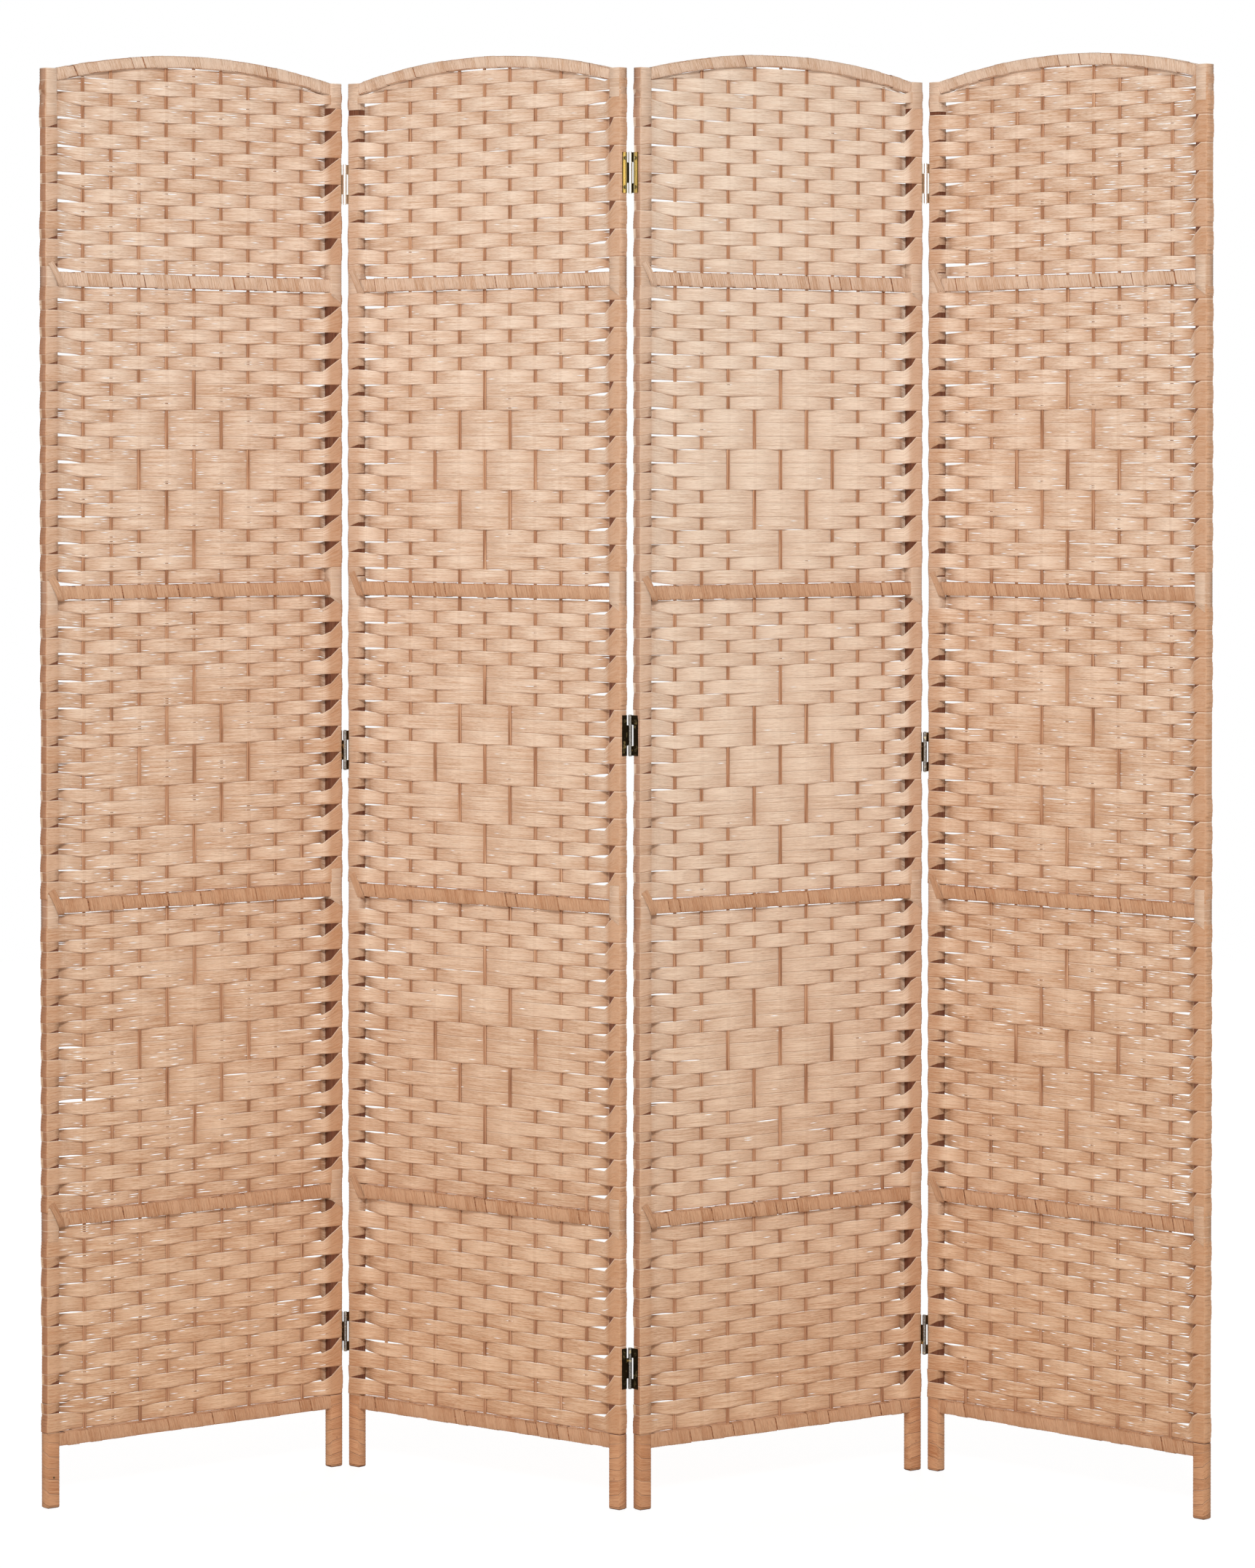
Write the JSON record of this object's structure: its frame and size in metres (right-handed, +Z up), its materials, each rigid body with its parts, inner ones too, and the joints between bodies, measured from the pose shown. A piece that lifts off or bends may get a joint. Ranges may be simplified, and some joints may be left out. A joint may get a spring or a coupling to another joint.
{
  "type": "folding screen",
  "caption": "Free-standing folding room divider: hinged timber-framed panels with arched tops, filled with paper bands woven over thin vertical rods.",
  "frame": {"origin": "on the floor, under the middle of the screen's box as it stands in its zigzag", "axes": "+Z up, +X to the viewer's right along the screen, the pictured front faces -Y"},
  "size_m": [1.4358, 0.359, 1.8],
  "materials": {
    "frame_wood": "bare sawn softwood",
    "stake_rods": "bare split rods",
    "woven_bands": "twisted paper bands, matt",
    "wrapping": "twisted paper strip, matt",
    "fixings": "plain",
    "hinge_brass": "brassed"
  },
  "bodies": {
    "panel_1": {"panel_1_left_post": "frame_wood", "panel_1_right_post": "frame_wood", "panel_1_top_rail": "frame_wood", "panel_1_cross_rail_1": "frame_wood", "panel_1_cross_rail_2": "frame_wood", "panel_1_cross_rail_3": "frame_wood", "panel_1_cross_rail_4": "frame_wood", "panel_1_bottom_rail": "frame_wood", "panel_1_stakes": "stake_rods", "panel_1_weave": "woven_bands", "panel_1_wraps": "wrapping", "panel_1_nails_and_screws": "fixings", "hinges_1_2_left_leaves": "hinge_brass"},
    "panel_2": {"panel_2_left_post": "frame_wood", "panel_2_right_post": "frame_wood", "panel_2_top_rail": "frame_wood", "panel_2_cross_rail_1": "frame_wood", "panel_2_cross_rail_2": "frame_wood", "panel_2_cross_rail_3": "frame_wood", "panel_2_cross_rail_4": "frame_wood", "panel_2_bottom_rail": "frame_wood", "panel_2_stakes": "stake_rods", "panel_2_weave": "woven_bands", "panel_2_wraps": "wrapping", "panel_2_nails_and_screws": "fixings", "hinges_1_2_right_leaves": "hinge_brass", "hinges_1_2_pins": "hinge_brass", "hinges_2_3_left_leaves": "hinge_brass"},
    "panel_3": {"panel_3_left_post": "frame_wood", "panel_3_right_post": "frame_wood", "panel_3_top_rail": "frame_wood", "panel_3_cross_rail_1": "frame_wood", "panel_3_cross_rail_2": "frame_wood", "panel_3_cross_rail_3": "frame_wood", "panel_3_cross_rail_4": "frame_wood", "panel_3_bottom_rail": "frame_wood", "panel_3_stakes": "stake_rods", "panel_3_weave": "woven_bands", "panel_3_wraps": "wrapping", "panel_3_nails_and_screws": "fixings", "hinges_2_3_right_leaves": "hinge_brass", "hinges_2_3_pins": "hinge_brass", "hinges_3_4_left_leaves": "hinge_brass"},
    "panel_4": {"panel_4_left_post": "frame_wood", "panel_4_right_post": "frame_wood", "panel_4_top_rail": "frame_wood", "panel_4_cross_rail_1": "frame_wood", "panel_4_cross_rail_2": "frame_wood", "panel_4_cross_rail_3": "frame_wood", "panel_4_cross_rail_4": "frame_wood", "panel_4_bottom_rail": "frame_wood", "panel_4_stakes": "stake_rods", "panel_4_weave": "woven_bands", "panel_4_wraps": "wrapping", "panel_4_nails_and_screws": "fixings", "hinges_3_4_right_leaves": "hinge_brass", "hinges_3_4_pins": "hinge_brass"}
  },
  "joints": [
    {"name": "hinge_1_2", "type": "hinge", "parent": "panel_2", "child": "panel_1", "pos_m": [-0.35317, 0.16765, 0], "axis": [0, 0, 1], "range_deg": [-78.4, 101.6]},
    {"name": "hinge_2_3", "type": "hinge", "parent": "panel_2", "child": "panel_3", "pos_m": [0.00878, -0.10879, 0], "axis": [0, 0, 1], "range_deg": [-75.8, 104.2]},
    {"name": "hinge_3_4", "type": "hinge", "parent": "panel_3", "child": "panel_4", "pos_m": [0.38913, 0.14173, 0], "axis": [0, 0, -1], "range_deg": [-81.5, 98.5]}
  ]
}
